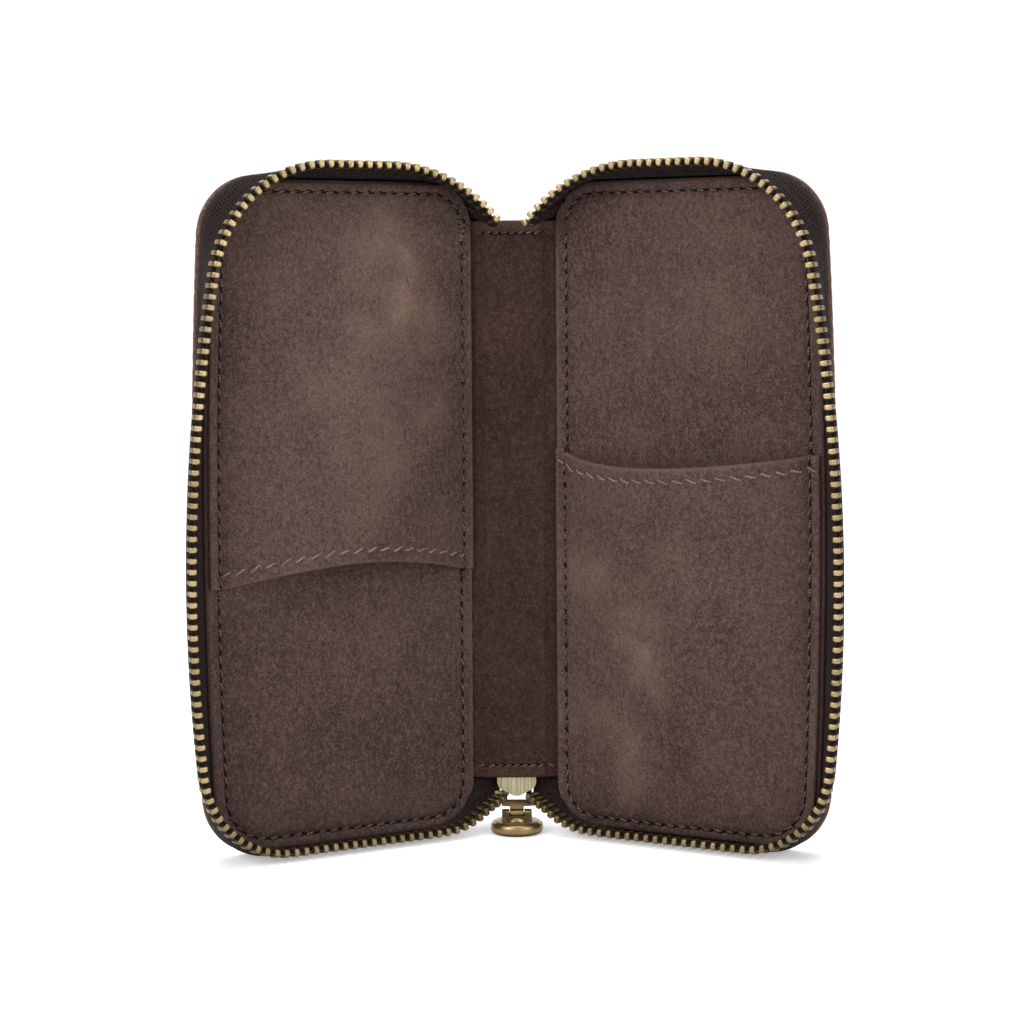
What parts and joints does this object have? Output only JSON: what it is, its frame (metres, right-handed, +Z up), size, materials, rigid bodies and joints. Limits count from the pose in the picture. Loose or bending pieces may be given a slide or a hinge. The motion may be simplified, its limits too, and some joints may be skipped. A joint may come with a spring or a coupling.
{
  "type": "watch travel case",
  "caption": "Zip-round leather travel case for two watches: two stiff suede-lined covers with pockets on a soft spine, brass zip and ring pull.",
  "frame": {"origin": "on the surface it stands on, under the middle of the case's box, with the case standing open on its lower edges", "axes": "+X to the right seen from inside the open case, +Y out of the back of the spine, +Z up along the spine"},
  "size_m": [0.1414, 0.0522, 0.1532],
  "materials": {
    "outer_leather": "oiled, dull",
    "suede": "napped suede",
    "board": "plain pressed board",
    "padding": "plain foam",
    "zip_tape": "herringbone weave",
    "antique_brass": "antique, worn bright on top",
    "brushed_brass": "brushed"
  },
  "bodies": {
    "spine": {"spine_leather": "outer_leather", "spine_board": "board", "spine_padding": "padding", "spine_lining": "suede", "left_leather_fold": "outer_leather", "right_leather_fold": "outer_leather", "left_lining_fold": "suede", "right_lining_fold": "suede", "slider_body": "brushed_brass", "slider_bridge": "antique_brass", "zip_bottom_stop": "antique_brass"},
    "left_cover": {"left_cover_leather": "outer_leather", "left_cover_board": "board", "left_cover_padding": "padding", "left_cover_lining": "suede", "left_pocket": "suede", "left_zip_tape": "zip_tape", "left_zip_teeth": "antique_brass", "left_tape_top_end": "zip_tape", "left_tape_bottom_end": "zip_tape", "left_top_teeth": "antique_brass", "left_bottom_teeth": "antique_brass"},
    "right_cover": {"right_cover_leather": "outer_leather", "right_cover_board": "board", "right_cover_padding": "padding", "right_cover_lining": "suede", "right_pocket": "suede", "right_zip_tape": "zip_tape", "right_zip_teeth": "antique_brass", "right_tape_top_end": "zip_tape", "right_tape_bottom_end": "zip_tape", "right_top_teeth": "antique_brass", "right_bottom_teeth": "antique_brass"},
    "pull_link": {"pull_link": "antique_brass"},
    "pull_ring": {"pull_ring": "antique_brass", "pull_pin": "antique_brass"}
  },
  "joints": [
    {"name": "left_cover_fold", "type": "hinge", "parent": "spine", "child": "left_cover", "pos_m": [-0.0103, 0.02012, 0.075], "axis": [0, 0, 1], "range_deg": [-30, 60], "deforming": ["left_leather_fold", "left_lining_fold", "left_tape_top_end", "left_tape_bottom_end", "left_top_teeth", "left_bottom_teeth"]},
    {"name": "right_cover_fold", "type": "hinge", "parent": "spine", "child": "right_cover", "pos_m": [0.0103, 0.02012, 0.075], "axis": [0, 0, -1], "range_deg": [-30, 60], "deforming": ["right_leather_fold", "right_lining_fold", "right_tape_top_end", "right_tape_bottom_end", "right_top_teeth", "right_bottom_teeth"]},
    {"name": "pull_swing", "type": "hinge", "parent": "spine", "child": "pull_link", "pos_m": [0, 0.02423, 0.0095], "axis": [1, 0, 0], "range_deg": [-2, 150]},
    {"name": "ring_swing", "type": "hinge", "parent": "pull_link", "child": "pull_ring", "pos_m": [0, 0.01993, 0.00287], "axis": [1, 0, 0], "range_deg": [-60, 130]}
  ]
}
